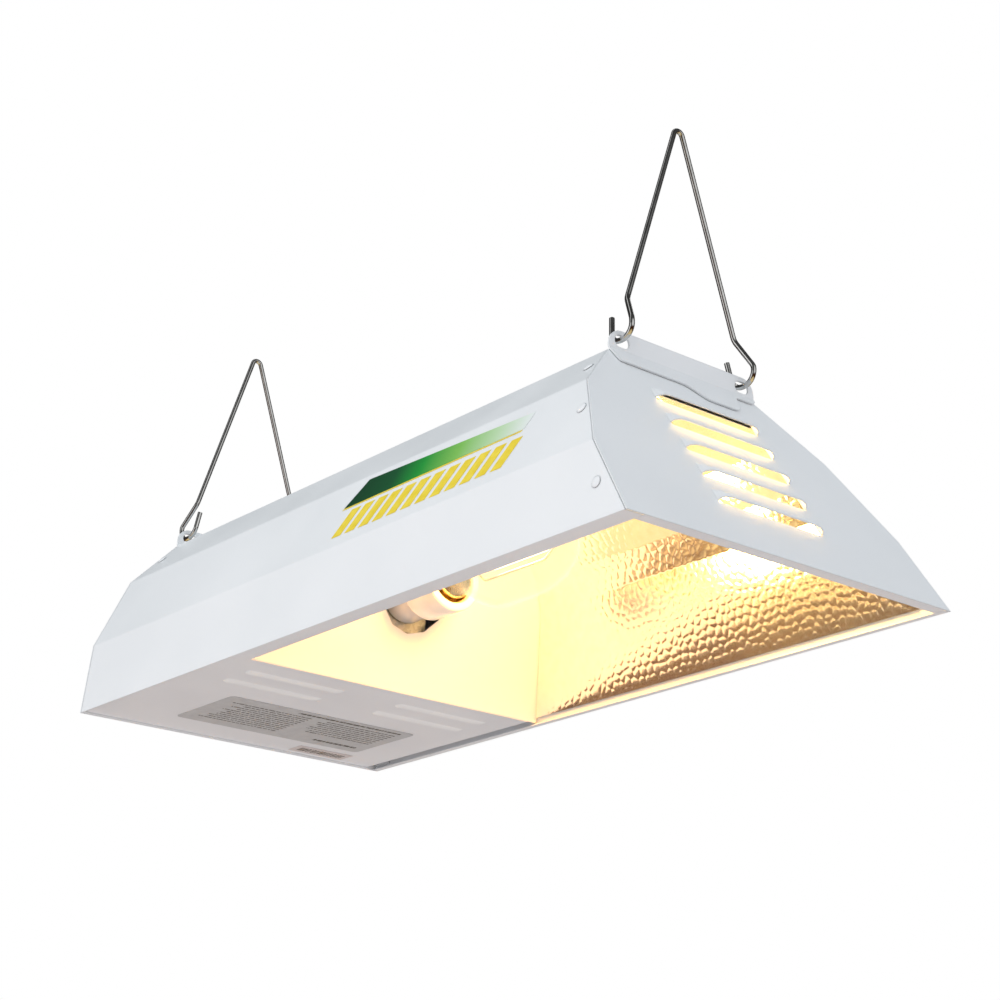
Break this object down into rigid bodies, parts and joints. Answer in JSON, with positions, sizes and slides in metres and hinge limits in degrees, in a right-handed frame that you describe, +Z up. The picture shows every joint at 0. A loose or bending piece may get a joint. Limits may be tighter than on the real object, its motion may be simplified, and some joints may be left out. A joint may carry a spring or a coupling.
{
  "type": "hanging grow lamp",
  "caption": "Hanging grow lamp: folded white steel hood with built-in ballast, a sodium lamp under a hammered aluminium reflector, end louvres and wire V-hangers that swing.",
  "frame": {"origin": "centre of the footprint, on the plane of the hood's rim, with the hangers counted", "axes": "+X along the hood from the ballast end to the lamp end, +Y from the decorated front side to the back, +Z up"},
  "size_m": [0.5258, 0.24, 0.2866],
  "materials": {
    "white_paint": "satin white powder coat",
    "reflector": "bright hammered",
    "chrome_wire": "polished",
    "porcelain": "glazed porcelain",
    "brass": "satin",
    "black_glass": "glossy",
    "lamp_glass": "clear",
    "arc_tube": "translucent, lit",
    "core_steel": "varnished laminations",
    "copper_coil": "varnished winding",
    "zinc_steel": "zinc plated",
    "can_aluminium": "satin",
    "black_plastic": "matte",
    "terminal_nylon": "satin",
    "lead_black": "satin",
    "lead_white": "satin",
    "label_silver": "printed foil",
    "label_white": "printed paper",
    "decal_green": "printed vinyl"
  },
  "bodies": {
    "hood": {"ballast_bracket": "zinc_steel", "ballast_coil": "copper_coil", "ballast_core": "core_steel", "ballast_lead": "lead_black", "ballast_screw_back": "zinc_steel", "ballast_screw_front": "zinc_steel", "ballast_tray": "white_paint", "capacitor": "can_aluminium", "capacitor_lead": "lead_black", "capacitor_screw": "zinc_steel", "capacitor_strap": "zinc_steel", "cord_inlet_bushing": "black_plastic", "divider_screw_back": "zinc_steel", "divider_screw_front": "zinc_steel", "end_panel_ballast_end": "white_paint", "end_panel_lamp_end": "white_paint", "front_decal": "decal_green", "hanger_bracket_ballast_end": "white_paint", "hanger_bracket_lamp_end": "white_paint", "hood_shell": "white_paint", "ignitor": "black_plastic", "ignitor_lead": "lead_white", "ignitor_screw": "zinc_steel", "rating_label": "label_silver", "reflector": "reflector", "reflector_rivet": "can_aluminium", "reflector_screw": "zinc_steel", "reflector_strap": "zinc_steel", "rivet_back_ballast_end": "white_paint", "rivet_back_chamfer": "white_paint", "rivet_back_lower": "white_paint", "rivet_back_middle": "white_paint", "rivet_front_ballast_end": "white_paint", "rivet_front_chamfer": "white_paint", "rivet_front_lower": "white_paint", "rivet_front_middle": "white_paint", "small_sticker": "label_white", "socket_body": "porcelain", "socket_bracket": "zinc_steel", "socket_bracket_screw": "zinc_steel", "socket_contact": "brass", "socket_lead_live": "lead_black", "socket_lead_neutral": "lead_white", "socket_screw_lower": "zinc_steel", "socket_screw_upper": "zinc_steel", "socket_shell": "brass", "supply_lead": "lead_black", "terminal_block": "terminal_nylon", "tray_screw_back": "zinc_steel", "tray_screw_front": "zinc_steel"},
    "lamp": {"lamp_glass": "lamp_glass", "lamp_base_shell": "brass", "lamp_base_insulator": "black_glass", "lamp_base_contact": "brass", "lamp_stem": "lamp_glass", "arc_tube": "arc_tube", "arc_frame": "zinc_steel"},
    "hanger_lamp_end_body": {"hanger_lamp_end": "chrome_wire"},
    "hanger_ballast_end_body": {"hanger_ballast_end": "chrome_wire"}
  },
  "joints": [
    {"name": "lamp_withdraw", "type": "slide", "parent": "hood", "child": "lamp", "axis": [1, 0, 0], "range_m": [0, 0.03]},
    {"name": "hanger_lamp_end_swing", "type": "hinge", "parent": "hood", "child": "hanger_lamp_end_body", "pos_m": [0.18233, 0, 0.1372], "axis": [0, 1, 0], "range_deg": [-37.5, 29.5]},
    {"name": "hanger_ballast_end_swing", "type": "hinge", "parent": "hood", "child": "hanger_ballast_end_body", "pos_m": [-0.2518, 0, 0.1372], "axis": [0, 1, 0], "range_deg": [-29.5, 37.5]}
  ]
}
